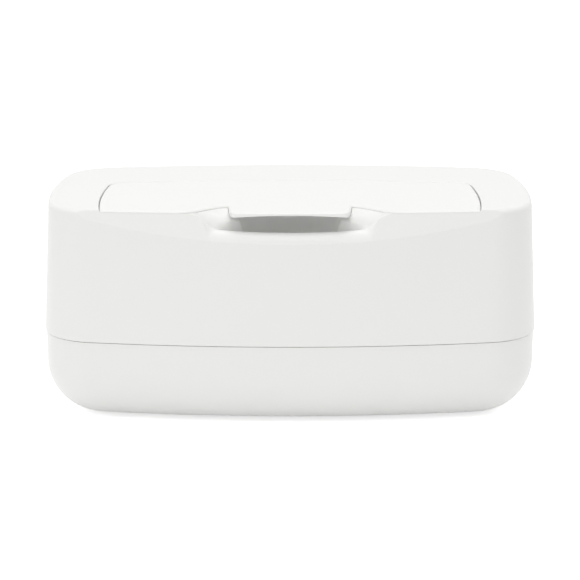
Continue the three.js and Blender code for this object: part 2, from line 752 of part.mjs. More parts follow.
const flap = new THREE.Group();
flap.add(part('lid', lidPanel(), whiteLid));
flap.add(part('lid_seal', lidSeal(), softSeal));
wipesBox.add(flap);

export default wipesBox;
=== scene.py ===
import math

import bmesh
import bpy
from mathutils import Matrix, Vector


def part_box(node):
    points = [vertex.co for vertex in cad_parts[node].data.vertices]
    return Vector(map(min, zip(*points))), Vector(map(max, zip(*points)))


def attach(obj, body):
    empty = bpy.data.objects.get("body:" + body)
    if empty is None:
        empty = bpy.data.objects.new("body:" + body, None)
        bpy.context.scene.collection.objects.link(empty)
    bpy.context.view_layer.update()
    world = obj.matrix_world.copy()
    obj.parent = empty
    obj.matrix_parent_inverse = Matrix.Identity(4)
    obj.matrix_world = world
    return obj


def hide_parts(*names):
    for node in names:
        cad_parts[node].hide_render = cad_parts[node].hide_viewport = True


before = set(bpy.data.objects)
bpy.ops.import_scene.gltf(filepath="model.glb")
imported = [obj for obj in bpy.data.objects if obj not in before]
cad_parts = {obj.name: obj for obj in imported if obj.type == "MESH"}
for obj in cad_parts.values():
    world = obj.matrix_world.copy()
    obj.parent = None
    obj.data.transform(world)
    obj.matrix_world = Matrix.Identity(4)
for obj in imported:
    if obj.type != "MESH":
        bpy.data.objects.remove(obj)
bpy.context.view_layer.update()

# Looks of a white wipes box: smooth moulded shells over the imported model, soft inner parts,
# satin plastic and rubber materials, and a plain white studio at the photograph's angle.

MM = 0.001

# Sizes in millimetres, taken from the frame where it holds them
shell_low, shell_high = (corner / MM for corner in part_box("upper_shell"))
tray_low, tray_high = (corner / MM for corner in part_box("lower_tray"))
foot_low, foot_high = (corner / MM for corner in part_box("foot_front_left"))
LENGTH = shell_high.x - shell_low.x
WIDTH = shell_high.y - shell_low.y
TOP = shell_high.z
COVER_BOTTOM = shell_low.z
SEAT_GAP = 0.3
TRAY_TOP = COVER_BOTTOM - SEAT_GAP
TRAY_BASE = tray_low.z
LIP_TOP = tray_high.z
FOOT_RADIUS = (foot_high.x - foot_low.x) / 2
FEET = ("foot_front_left", "foot_front_right", "foot_rear_left", "foot_rear_right")

# Plan of the box
LONG_SIDE_RADIUS = 507
SHORT_SIDE_RADIUS = 242
CORNER_RADIUS = 26.6
WALL = 2.2
COVER_OVERHANG = 0.5
COVER_DRAFT = 3
TOP_ROUND = 2
LEAST_TOP_ROUND = 0.2
BASE_FILLET_ACROSS = 24.9
BASE_FILLET_HIGH = 24
LIP_THICKNESS = 1.5
LIP_ROOT = 4
LIP_SLOPE = 1
LIP_CHAMFER = 0.3
RIM_ROUND = 0.25
FOOT_RECESS = 1

# Facet across the front's top edge
FACET_SETBACK = 3.65
FACET_DROP = 13.2
FACET_RADIUS = 760
FACET_SLOPE = FACET_SETBACK / FACET_DROP + COVER_DRAFT / (TOP - COVER_BOTTOM)
FACET_TOP_Y = WIDTH / 2 - COVER_DRAFT - FACET_SETBACK

# Lid
LID_LENGTH = 165.5
LID_THICKNESS = 2.2
LID_GAP = 0.5
WING_GAP = 0.1
LID_MIDDLE_Y = -16
LID_REAR_Y = 17.25
LID_SIDE_RADIUS = 280
ROOM_SIDE_RADIUS = 247
LID_REAR_RADIUS = 480
LID_CORNER_RADIUS = 7
LID_FRONT_INSET = 3
LID_EDGE_THICKNESS = 0.9
LID_ROUND = 0.8
LID_ROUND_ACROSS = 1.2
FRONT_SEAM = 0.04
OPENING_ROUND = 0.5
FRONT_RIM_WIDTH = 3.2
PIVOT_Y = 4.5
PIVOT_DEPTH = 2
PIVOT_PIN_RADIUS = 1.2
PIVOT_CLEARANCE = 0.2
PIVOT_PIN_REACH = 2
PIVOT_LUG_LENGTH = 5
PIVOT_LUG_INSET = 1.2
PIVOT_LUG_RADIUS = 1.95

# Tongue and finger scoop
TONGUE_WIDTH = 53
TONGUE_TAPER = 1.5
TONGUE_OVERHANG = 1.9
TONGUE_CORNER = 3
TONGUE_BOW = 0.2
TONGUE_TIP_THICKNESS = 1.1
TONGUE_ARCH = 1.1
TONGUE_ARCH_HALF = TONGUE_WIDTH / 2.1
TONGUE_THIN_LENGTH = 8
TONGUE_ROOT = 0.4
TONGUE_ROOT_INSET = 0.05
TONGUE_HEEL = 2
TONGUE_ROOM = 0.5
SCOOP_WIDTH = 92
SCOOP_REACH = 14.5
SCOOP_STEP = LID_EDGE_THICKNESS + FRONT_SEAM
WING_START_EASE = 0.4
WING_END_EASE_X = 0.48
WING_END_EASE_Y = 0.3
BOWL_CREST_DEPTH = 8.92
BOWL_CREST_SETBACK = 0.2
BOWL_SAG = 0.14
BOWL_FLAT = 30.4
BOWL_EASE = 1.25
BOWL_END_LENGTH = 6
BOWL_END_WIDTH = 82
BOWL_END_REACH = 0.8
POCKET_EDGE_X = 36.5
POCKET_EDGE_DEPTH = 7.5
POCKET_EDGE_TURN_IN = 2.1
POCKET_EDGE_RISE = 0.4
POCKET_EDGE_SLOPE = 5
POCKET_BACK_EDGE_X = 23
POCKET_CORNER_X = 12
POCKET_CORNER_Y = 11
POCKET_BACK_EDGE_DEPTH = 3.5
POCKET_BLEND = 2
RIM_FLARE_ENDS = 0.5
RIM_ROLL = 2.4
RIM_LEAST_ROLL = 0.1
RIM_FLARE_ACROSS = 5
RIM_FLARE_DOWN = 6.6
LAST_FLARE = 0.999
FUNNEL_MOUTH = 1.2
POCKET_BACK_Y = -43
POCKET_DEPTH = 18
CATCH_RADIUS = 6
CATCH_THICKNESS = 1.4
CREST_Y = BOWL_CREST_SETBACK - FACET_TOP_Y
TONGUE_TIP_Y = -(FACET_TOP_Y + TONGUE_OVERHANG)
SCOOP_BACK_Y = -(FACET_TOP_Y - SCOOP_REACH)

# Deck under the lid, seal and insert
LEDGE_WIDTH = 3
DECK_DEPTH = 8
DECK_FRONT_Y = -38
TROUGH_DEPTH = 16
TROUGH_FRONT_Y = -0.5
DECK_Y = (DECK_FRONT_Y + TROUGH_FRONT_Y) / 2
PORT_LENGTH = 92
PORT_WIDTH = 21
SEAL_LENGTH = 122
SEAL_SPAN = 30
SEAL_WIDTH = 2.4
SEAL_HEIGHT = 3.2
SEAL_SKIRT = 1.2
SEAL_GRIP = 1.7

# Modelling: how far tools reach past what they cut, how deep joined forms overlap, and where
# shading breaks
FAR = 2 * LENGTH
SPARE = 1
FACET_SPARE = 5
ABOVE = TOP + 10
HAIR = 0.01
WELD_DEPTH = 0.5
MERGE_DISTANCE = 0.004
SHARP_ANGLE = 14

# How finely curves are divided: plans, then roundings, then the scoop and the tongue across
SIDE_STEPS = 8
CORNER_STEPS = 20
END_STEPS = 16
LID_SIDE_STEPS = 24
LID_CORNER_STEPS = 12
LID_REAR_STEPS = 20
WING_STEPS = 20
FACET_STEPS = 80
TONGUE_TIP_STEPS = 6
TONGUE_CORNER_STEPS = 8
CIRCLE_STEPS = 48
RIM_STEPS = 4
EDGE_STEPS = 8
ROUND_STEPS = 12
FILLET_STEPS = 16
POCKET_STEPS = 24
CATCH_STEPS = 24
HALVINGS = 30
SCOOP_COLUMNS = 60
WEDGE_COLUMNS = 32


# Outlines: lists of (x, y) in millimetres, counter-clockwise

def arc(x, y, radius, start, end, steps):
    turns = [start + (end - start) * i / steps for i in range(steps + 1)]
    return [(x + radius * math.cos(t), y + radius * math.sin(t)) for t in turns]


def circle(x, y, radius):
    last = CIRCLE_STEPS - 1
    return arc(x, y, radius, 0, 2 * math.pi * last / CIRCLE_STEPS, last)


def corner_between(side, end, corner_radius):
    """Centre and two angles of the corner arc that touches a side and an end arc from inside."""
    (side_x, side_y, side_r), (end_x, end_y, end_r) = side, end
    reach_side = side_r - corner_radius
    reach_end = end_r - corner_radius
    dx, dy = end_x - side_x, end_y - side_y
    apart = math.hypot(dx, dy)
    along = (apart ** 2 + reach_side ** 2 - reach_end ** 2) / (2 * apart)
    off = math.sqrt(reach_side ** 2 - along ** 2)
    x = side_x + (along * dx - off * dy) / apart
    y = side_y + (along * dy + off * dx) / apart
    return x, y, math.atan2(y - side_y, x - side_x), math.atan2(y - end_y, x - end_x)


def mirrored(points):
    return [(-x, y) for x, y in reversed(points)]


def flipped(points):
    return [(x, -y) for x, y in reversed(points)]


def tidy(points, least=1e-3):
    """The outline without points that lie on the one after them."""
    kept = []
    for i, point in enumerate(points):
        after = points[(i + 1) % len(points)]
        if math.dist(point, after) > least:
            kept.append(point)
    return kept


def plan_outline(inset):
    """Plan of the box: shallow side and end arcs joined by corner arcs, moved in by inset."""
    side = (LENGTH / 2 - SHORT_SIDE_RADIUS, 0, SHORT_SIDE_RADIUS - inset)
    end = (0, WIDTH / 2 - LONG_SIDE_RADIUS, LONG_SIDE_RADIUS - inset)
    radius = CORNER_RADIUS - inset
    x, y, first, second = corner_between(side, end, radius)
    quarter = arc(*side, 0, first, SIDE_STEPS) + arc(x, y, radius, first, second, CORNER_STEPS)
    quarter += arc(*end, second, math.pi / 2, END_STEPS)
    half = quarter + mirrored(quarter)
    return tidy(half + flipped(half))


def offset_outline(points, distance):
    """Each point moved outwards so that the edges move by distance."""
    moved = []
    for i, point in enumerate(points):
        here = Vector(point)
        before = (here - Vector(points[i - 1])).normalized()
        after = (Vector(points[(i + 1) % len(points)]) - here).normalized()
        normal = Vector((before.y + after.y, -before.x - after.x))
        moved.append(tuple(here + normal * (distance / (1 + before.dot(after)))))
    return moved


def stadium(length, width):
    radius = width / 2
    centre = length / 2 - radius
    points = arc(centre, 0, radius, -math.pi / 2, math.pi / 2, CORNER_STEPS)
    points += arc(-centre, 0, radius, math.pi / 2, 1.5 * math.pi, CORNER_STEPS)
    return [(x, y + DECK_Y) for x, y in points]


def cover_inset(z):
    """How far the cover's sides have drawn in at a height."""
    return COVER_DRAFT * (z - COVER_BOTTOM) / (TOP - COVER_BOTTOM)


def bow(x):
    """How far the facet curves back at a place across."""
    return FACET_RADIUS - math.sqrt(FACET_RADIUS ** 2 - x * x)


def facet_y(x, depth, inset=0):
    """Front of the facet at a place across and a depth under the top."""
    return bow(x) - (FACET_TOP_Y + FACET_SLOPE * depth - inset)


def lid_arcs(grow):
    """Side and rear arcs of the lid, or of its room, whose gap closes towards the front."""
    radius = LID_SIDE_RADIUS if grow == 0 else ROOM_SIDE_RADIUS
    side = (LID_LENGTH / 2 - radius, LID_MIDDLE_Y, radius + grow)
    end = (0, LID_REAR_Y - LID_REAR_RADIUS, LID_REAR_RADIUS + grow)
    return side, end


def lid_sides(grow, front_y):
    """Right half of the lid's outline: from the front, along the side, to the rear's middle."""
    side, end = lid_arcs(grow)
    radius = LID_CORNER_RADIUS + grow
    x, y, first, second = corner_between(side, end, radius)
    front = math.asin((front_y - side[1]) / side[2])
    points = arc(*side, front, first, LID_SIDE_STEPS)
    points += arc(x, y, radius, first, second, LID_CORNER_STEPS)
    return points + arc(*end, second, math.pi / 2, LID_REAR_STEPS)


def lid_rectangle(grow, front_y):
    """The lid's room in plan without the scoop, grown at its sides and rear, up to a front line."""
    half = lid_sides(grow, front_y)
    return tidy(half + mirrored(half))


def wing_point(t):
    """The curve along which the scoop cuts the lid's front edge, from the facet to the tongue.

    Its two inner knots say how softly it leaves the facet and how steeply it meets the tongue."""
    start_x, start_y = SCOOP_WIDTH / 2, facet_y(SCOOP_WIDTH / 2, 0)
    end_x = TONGUE_WIDTH / 2
    run = start_x - end_x
    knots = (
        (start_x, start_y),
        (start_x - WING_START_EASE * run, start_y),
        (end_x + WING_END_EASE_X * run, SCOOP_BACK_Y - WING_END_EASE_Y * SCOOP_REACH),
        (end_x, SCOOP_BACK_Y),
    )
    weights = ((1 - t) ** 3, 3 * t * (1 - t) ** 2, 3 * t * t * (1 - t), t ** 3)
    x = sum(w * k[0] for w, k in zip(weights, knots))
    return x, sum(w * k[1] for w, k in zip(weights, knots))


def wing_half_width(y):
    """Half width of the scoop along a line bowed like the facet that crosses the middle at y."""
    low, high = 0.0, 1.0
    for _ in range(HALVINGS):
        middle = (low + high) / 2
        wing_x, wing_y = wing_point(middle)
        low, high = (middle, high) if wing_y - bow(wing_x) < y else (low, middle)
    return wing_point(low)[0]


def lid_plan(inset, depth):
    """The whole lid in plan at a depth: tongue, wings, front edge on the facet, sides, rear."""
    corner_x = TONGUE_WIDTH / 2 - TONGUE_TAPER - TONGUE_CORNER
    corner_y = TONGUE_TIP_Y + TONGUE_BOW + TONGUE_CORNER
    half = []
    for i in range(TONGUE_TIP_STEPS):
        share = i / TONGUE_TIP_STEPS
        half.append((corner_x * share, TONGUE_TIP_Y + TONGUE_BOW * share ** 2))
    half += arc(corner_x, corner_y, TONGUE_CORNER, -math.pi / 2, 0, TONGUE_CORNER_STEPS)
    half.append((TONGUE_WIDTH / 2 - TONGUE_ROOT_INSET, SCOOP_BACK_Y - TONGUE_ROOT))
    half += [wing_point(1 - i / WING_STEPS) for i in range(WING_STEPS + 1)]
    side_x, side_y, side_r = lid_arcs(0)[0]
    front_y = facet_y(LID_LENGTH / 2 - LID_FRONT_INSET, depth)
    edge_x = side_x + math.sqrt(side_r ** 2 - (front_y - side_y) ** 2)
    start_x = SCOOP_WIDTH / 2
    for i in range(1, WING_STEPS + 1):
        x = start_x + (edge_x - start_x) * i / WING_STEPS
        half.append((x, facet_y(x, depth)))
    half += lid_sides(0, front_y)[1:]
    return offset_outline(tidy(half + mirrored(half), least=0.02), -inset)


def notch_plan(shrink):
    """What the scoop takes out of the lid's plan, made smaller by shrink."""
    half = [(SCOOP_WIDTH / 2, -WIDTH)]
    half += [wing_point(i / WING_STEPS) for i in range(WING_STEPS + 1)]
    return offset_outline(half + mirrored(half), -shrink)


def tongue_plan(grow):
    """The tongue in plan, made larger by grow."""
    tip_half = TONGUE_WIDTH / 2 - TONGUE_TAPER + grow
    corner = TONGUE_CORNER + grow
    tip_y = TONGUE_TIP_Y - grow
    half = [(0, tip_y)]
    corner_y = tip_y + TONGUE_BOW + corner
    half += arc(tip_half - corner, corner_y, corner, -math.pi / 2, 0, TONGUE_CORNER_STEPS)
    half += [(TONGUE_WIDTH / 2 + grow, SCOOP_BACK_Y + y) for y in (-TONGUE_ROOT, TONGUE_HEEL)]
    return tidy(half + mirrored(half))


# Meshes: every piece starts as a ring of vertices that bmesh extrudes level by level

def to_object(name, bm):
    bmesh.ops.recalc_face_normals(bm, faces=bm.faces)
    mesh = bpy.data.meshes.new(name)
    bm.to_mesh(mesh)
    bm.free()
    piece = bpy.data.objects.new(name, mesh)
    bpy.context.scene.collection.objects.link(piece)
    return piece


def skin(name, rings):
    """A closed skin through rings of (x, y, z) points in millimetres, capped at both ends."""
    bm = bmesh.new()
    verts = [bm.verts.new(Vector(point) * MM) for point in rings[0]]
    edges = [bm.edges.new((verts[i - 1], verts[i])) for i in range(len(verts))]
    first = list(edges)
    for ring in rings[1:]:
        made = bmesh.ops.extrude_edge_only(bm, edges=edges)["geom"]
        edges = [item for item in made if isinstance(item, bmesh.types.BMEdge)]
        fresh = {item for item in made if isinstance(item, bmesh.types.BMVert)}
        follow = []
        for vert in verts:
            beside = (edge.other_vert(vert) for edge in vert.link_edges)
            follow.append(next(other for other in beside if other in fresh))
        for vert, point in zip(follow, ring):
            vert.co = Vector(point) * MM
        verts = follow
    bmesh.ops.contextual_create(bm, geom=first)
    bmesh.ops.contextual_create(bm, geom=edges)
    return to_object(name, bm)


def prism(name, levels):
    """A skin through flat outlines, each given as (points, z)."""
    return skin(name, [[(x, y, z) for x, y in points] for points, z in levels])


def slab(points, low, high):
    return prism("slab", [(points, low), (points, high)])


def block(low, high):
    bm = bmesh.new()
    bmesh.ops.create_cube(bm, size=1)
    size = [(b - a) * MM for a, b in zip(low, high)]
    centre = [(a + b) / 2 * MM for a, b in zip(low, high)]
    bmesh.ops.scale(bm, vec=size, verts=bm.verts)
    bmesh.ops.translate(bm, vec=centre, verts=bm.verts)
    return to_object("block", bm)


def rod(radius, low_x, high_x, y, z):
    bm = bmesh.new()
    length = (high_x - low_x) * MM
    bmesh.ops.create_cone(bm, cap_ends=True, segments=CIRCLE_STEPS, radius1=radius * MM,
                          radius2=radius * MM, depth=length)
    bmesh.ops.rotate(bm, matrix=Matrix.Rotation(math.pi / 2, 3, "Y"), verts=bm.verts)
    centre = Vector(((low_x + high_x) / 2, y, z)) * MM
    bmesh.ops.translate(bm, vec=centre, verts=bm.verts)
    return to_object("rod", bm)


def combine(piece, tool, operation):
    """Joins the tool to the piece, cuts it out or keeps what is common, and drops the tool."""
    change = piece.modifiers.new("combine", "BOOLEAN")
    change.operation = operation
    change.solver = "MANIFOLD"
    change.object = tool
    settled = bpy.context.evaluated_depsgraph_get()
    mesh = bpy.data.meshes.new_from_object(piece.evaluated_get(settled))
    piece.modifiers.remove(change)
    piece.data = mesh
    bpy.data.objects.remove(tool)
    return piece


def cut(piece, tool):
    return combine(piece, tool, "DIFFERENCE")


def join(piece, tool):
    return combine(piece, tool, "UNION")


def keep(piece, tool):
    return combine(piece, tool, "INTERSECT")


def finish_piece(piece, name, body, node, material):
    """Names the piece, smooths it between its sharp edges, and lets it stand for its node."""
    piece.name = name
    bm = bmesh.new()
    bm.from_mesh(piece.data)
    bmesh.ops.remove_doubles(bm, verts=bm.verts, dist=MERGE_DISTANCE * MM)
    bmesh.ops.dissolve_degenerate(bm, edges=bm.edges, dist=MERGE_DISTANCE * MM)
    for face in bm.faces:
        face.smooth = True
    for edge in bm.edges:
        turned = len(edge.link_faces) == 2 and edge.calc_face_angle(0) > math.radians(SHARP_ANGLE)
        edge.smooth = not turned
    bm.to_mesh(piece.data)
    bm.free()
    even = piece.modifiers.new("even shading", "WEIGHTED_NORMAL")
    even.keep_sharp = True
    even.weight = 100
    piece.data.materials.clear()
    piece.data.materials.append(material)
    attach(piece, body)
    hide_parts(node)
    return piece


# Materials

CLOUD_WIDTH = 45
GRAIN_DEPTH = 0.02
GLOSS_SPREAD = 0.04
PLASTIC_IOR = 1.49


def linear(code):
    """An sRGB hex colour such as "f2f1ee" as linear RGBA."""
    channels = [int(code[i:i + 2], 16) / 255 for i in (0, 2, 4)]
    return [c / 12.92 if c <= 0.04045 else ((c + 0.055) / 1.055) ** 2.4 for c in channels] + [1]


def add(tree, kind, settings=None, links=None):
    """A node with its settings (properties or sockets by name) and links {socket: output}."""
    node = tree.nodes.new(kind)
    for key, value in (settings or {}).items():
        if isinstance(key, str) and hasattr(node, key):
            setattr(node, key, value)
        else:
            node.inputs[key].default_value = value
    for socket, output in (links or {}).items():
        tree.links.new(output, node.inputs[socket])
    return node


def moulded(name, code_low, code_high, roughness, texture_mm, bump):
    """A moulded surface: cloudy colour between two near tones and a fine spark-eroded grain.

    The clouds are 45 mm wide, as thick and thin walls look in one moulding. A real grain is about
    0.1 mm, too fine to show in the picture, so it is drawn as coarse as texture_mm."""
    material = bpy.data.materials.new(name)
    material.use_nodes = True
    tree = material.node_tree
    shader = tree.nodes["Principled BSDF"]
    place = add(tree, "ShaderNodeTexCoord").outputs["Object"]
    cloud = add(tree, "ShaderNodeTexNoise", {"Scale": 1 / (CLOUD_WIDTH * MM), "Detail": 2.0},
                {"Vector": place})
    tone = add(tree, "ShaderNodeMix",
               {"data_type": "RGBA", 6: linear(code_low), 7: linear(code_high)},
               {0: cloud.outputs["Fac"]})
    grain = add(tree, "ShaderNodeTexNoise", {"Scale": 1 / (texture_mm * MM), "Detail": 3.0},
                {"Vector": place})
    relief = add(tree, "ShaderNodeBump", {"Strength": bump, "Distance": GRAIN_DEPTH * MM},
                 {"Height": grain.outputs["Fac"]})
    gloss = add(tree, "ShaderNodeMapRange",
                {"To Min": roughness - GLOSS_SPREAD, "To Max": roughness + GLOSS_SPREAD},
                {"Value": grain.outputs["Fac"]})
    tree.links.new(tone.outputs[2], shader.inputs["Base Color"])
    tree.links.new(gloss.outputs["Result"], shader.inputs["Roughness"])
    tree.links.new(relief.outputs["Normal"], shader.inputs["Normal"])
    shader.inputs["IOR"].default_value = PLASTIC_IOR
    return material


# Polypropylene from a finely eroded mould: white with broad, soft highlights and no mirror images
shell_white = moulded("satin_polypropylene_shell", "eeeeec", "f0f0ee", 0.42, 0.35, 0.25)
tray_white = moulded("satin_polypropylene_tray", "eeeeec", "f0f0ee", 0.42, 0.35, 0.25)
# The lid's mould is polished a little finer, so it looks slightly brighter and smoother
lid_white = moulded("satin_polypropylene_lid", "efefed", "f1f1ef", 0.4, 0.35, 0.2)
# Silicone: cool grey with a soft skin that shows a dull sheen
seal_silicone = moulded("moulded_silicone", "d3d5d6", "d9dbdc", 0.62, 0.6, 0.3)
# Thermoplastic rubber: matt grey with a grain that takes away all shine
foot_rubber = moulded("moulded_rubber", "b9bbbc", "c2c4c5", 0.75, 0.5, 0.6)


# Lower tray: one profile swept round the plan, from the base over the lip to the inner floor

def quarter_turn(steps):
    return [math.pi / 2 * i / steps for i in range(steps + 1)]


def make_tray():
    """The tray with the lip that the cover sits over, and a recess for each foot."""
    profile = []
    for turn in quarter_turn(FILLET_STEPS):
        inset = BASE_FILLET_ACROSS * (1 - math.sin(turn))
        profile.append((inset, TRAY_BASE + BASE_FILLET_HIGH * (1 - math.cos(turn))))
    for turn in quarter_turn(RIM_STEPS)[1:]:
        rise = RIM_ROUND * math.sin(turn)
        profile.append((RIM_ROUND * (1 - math.cos(turn)), TRAY_TOP - RIM_ROUND + rise))
    lip_outer = WALL + SEAT_GAP - COVER_OVERHANG
    lip_inner = lip_outer + LIP_THICKNESS
    drawn = cover_inset(LIP_TOP)
    chamfer = LIP_CHAMFER
    profile += [(lip_outer, TRAY_TOP), (lip_outer + drawn, LIP_TOP - chamfer)]
    profile += [(lip_outer + drawn + chamfer, LIP_TOP), (lip_inner + drawn - chamfer, LIP_TOP)]
    profile += [(lip_inner + drawn, LIP_TOP - chamfer), (lip_inner, TRAY_TOP - LIP_ROOT)]
    profile += [(WALL, TRAY_TOP - LIP_ROOT - LIP_SLOPE)]
    for turn in reversed(quarter_turn(ROUND_STEPS)):
        inset = WALL + (BASE_FILLET_ACROSS - WALL) * (1 - math.sin(turn))
        z = TRAY_BASE + WALL + (BASE_FILLET_HIGH - WALL) * (1 - math.cos(turn))
        profile.append((inset, z))
    tray = prism("tray", [(plan_outline(COVER_OVERHANG + inset), z) for inset, z in profile])
    for x, y in foot_places():
        recess = circle(x, y, FOOT_RADIUS + SEAT_GAP)
        tray = cut(tray, slab(recess, TRAY_BASE - SPARE, TRAY_BASE + FOOT_RECESS))
    return tray


def foot_places():
    """Middle of each foot in plan, from the frame."""
    places = []
    for name in FEET:
        low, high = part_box(name)
        places.append(((low.x + high.x) / 2 / MM, (low.y + high.y) / 2 / MM))
    return places


# Upper shell

def facet_body(inset):
    """Everything behind the facet, moved in by inset."""
    half = LENGTH / 2 + FACET_SPARE
    levels = []
    for z in (COVER_BOTTOM - FACET_SPARE, ABOVE):
        xs = [-half + 2 * half * i / FACET_STEPS for i in range(FACET_STEPS + 1)]
        points = [(x, facet_y(x, TOP - z, inset)) for x in xs]
        levels.append((points + [(half, WIDTH), (-half, WIDTH)], z))
    return prism("behind_facet", levels)


def cover_body(inset, low):
    """The cover as a solid, moved in by inset, from a height up to its rounded top."""
    high = TOP - inset
    turn_radius = max(LEAST_TOP_ROUND, TOP_ROUND - inset)
    levels = [(plan_outline(inset + cover_inset(low)), low)]
    if inset == 0:
        levels = []
        for turn in quarter_turn(RIM_STEPS):
            rise = RIM_ROUND * (1 - math.cos(turn))
            levels.append((plan_outline(RIM_ROUND * (1 - math.sin(turn))), low + rise))
    for turn in quarter_turn(ROUND_STEPS):
        z = high - turn_radius * (1 - math.sin(turn))
        drawn = cover_inset(z) + turn_radius * (1 - math.cos(turn))
        levels.append((plan_outline(inset + drawn), z))
    return keep(prism("cover", levels), facet_body(inset))


def ease_in(share):
    """0 to 1 along an S curve."""
    return 0.5 - 0.5 * math.cos(math.pi * min(1, max(0, share)))


def rim_depth(x, wing, middle, outside):
    """Depth along the rim: nearly flat in the middle, easing up to the lid's level at its end."""
    sag = 1 - BOWL_SAG * (x / BOWL_FLAT) ** 2
    flat = min(BOWL_FLAT + outside, wing - BOWL_END_LENGTH)
    share = sag * (1 - ease_in((x - flat) / (wing - flat))) ** BOWL_EASE
    return SCOOP_STEP + (middle - SCOOP_STEP) * share


def pocket_depth(x, wing, middle, behind):
    """Depth behind the rim: a shallow flank in to an edge, then the steep side of the pocket."""
    edge = max(POCKET_BACK_EDGE_X, POCKET_EDGE_X - POCKET_EDGE_TURN_IN * behind)
    edge = min(edge, wing - WALL)
    corner = min(1, max(0, 1 - (POCKET_BACK_Y - CREST_Y - behind) / POCKET_CORNER_Y))
    edge -= POCKET_CORNER_X * (1 - math.sqrt(1 - corner ** 2))
    edge_depth = max(POCKET_BACK_EDGE_DEPTH, POCKET_EDGE_DEPTH - POCKET_EDGE_RISE * behind)
    across = min(1, (wing - x) / (wing - edge))
    flank = SCOOP_STEP + (edge_depth - SCOOP_STEP) * across
    floor = middle * (1 - BOWL_SAG * (x / BOWL_FLAT) ** 2)
    return flank + (floor - flank) * ease_in((edge - x) / POCKET_EDGE_SLOPE)


def scoop_section(y, grow):
    """One section of the bowl, on a line bowed like the facet that crosses the middle at y."""
    outside = max(0, CREST_Y - y)
    behind = max(0, y - CREST_Y)
    flare = RIM_FLARE_DOWN * (1 - math.sqrt(max(0, 1 - (outside / RIM_FLARE_ACROSS) ** 2)))
    roll_share = min(1, behind / max(RIM_LEAST_ROLL, RIM_ROLL - grow))
    roll = 1 - math.sqrt(1 - roll_share ** 2)
    middle = BOWL_CREST_DEPTH + (POCKET_DEPTH - BOWL_CREST_DEPTH) * roll
    narrowing = (SCOOP_WIDTH - BOWL_END_WIDTH) / 2 * math.exp(-outside / BOWL_END_REACH)
    wing = min(BOWL_END_WIDTH / 2 + narrowing, wing_half_width(y))
    blend = ease_in(behind / POCKET_BLEND)
    half = []
    for i in range(SCOOP_COLUMNS + 1):
        x = wing * i / SCOOP_COLUMNS
        depth = rim_depth(x, wing, middle, outside)
        depth += (pocket_depth(x, wing, middle, behind) - depth) * blend
        depth += grow + flare * (1 + RIM_FLARE_ENDS * min(1, x / BOWL_FLAT) ** 2)
        half.append((x * (1 + grow / wing), TOP - depth))
    half.append((wing + grow, TOP + TOP_ROUND))
    return [(x, y + bow(x), z) for x, z in tidy(half + mirrored(half), 1e-4)]


def scoop_funnel(grow=0):
    """The space of the finger recess, from in front of the facet to the pocket's back.

    The sections lie closer together where the flare, the roll and the back are steep."""
    flare = LAST_FLARE * RIM_FLARE_ACROSS
    start = CREST_Y + RIM_ROLL
    reach = POCKET_BACK_Y + grow - start
    places = [CREST_Y - FUNNEL_MOUTH * RIM_FLARE_ACROSS]
    places += [CREST_Y - flare * math.sin(turn) for turn in reversed(quarter_turn(FILLET_STEPS))]
    places += [CREST_Y + RIM_ROLL * math.sin(turn) for turn in quarter_turn(ROUND_STEPS)[1:]]
    places += [start + reach * math.sin(turn) for turn in quarter_turn(POCKET_STEPS)[1:]]
    return skin("scoop", [scoop_section(y, grow) for y in places])


def rounded_room(depth):
    """The lid's opening from a depth up, with the rounded upper edge of the shell around it."""
    levels = [(lid_rectangle(LID_GAP, -WIDTH), TOP - depth)]
    for turn in quarter_turn(EDGE_STEPS):
        z = TOP - OPENING_ROUND * (1 - math.sin(turn))
        levels.append((lid_rectangle(LID_GAP + OPENING_ROUND * (1 - math.cos(turn)), -WIDTH), z))
    levels.append((lid_rectangle(LID_GAP + OPENING_ROUND, -WIDTH), ABOVE))
    return prism("room", levels)


def clear_lid_room(shell, depth, inset=None):
    """Cuts away what the lid and its gap take up, down to a depth under the top."""
    low = TOP - depth
    room = cut(rounded_room(depth), slab(notch_plan(WING_GAP), low - SPARE, ABOVE + SPARE))
    if inset is not None:
        room = keep(room, facet_body(inset))
    return cut(cut(shell, room), slab(tongue_plan(WING_GAP), low, ABOVE))


def trough(grow, depth, high):
    """The room behind the deck that the lid's tail swings down into."""
    room = slab(lid_rectangle(LID_GAP + grow, -WIDTH), TOP - depth, high)
    return keep(room, block((-FAR, TROUGH_FRONT_Y - grow, 0), (FAR, FAR, 2 * TOP)))


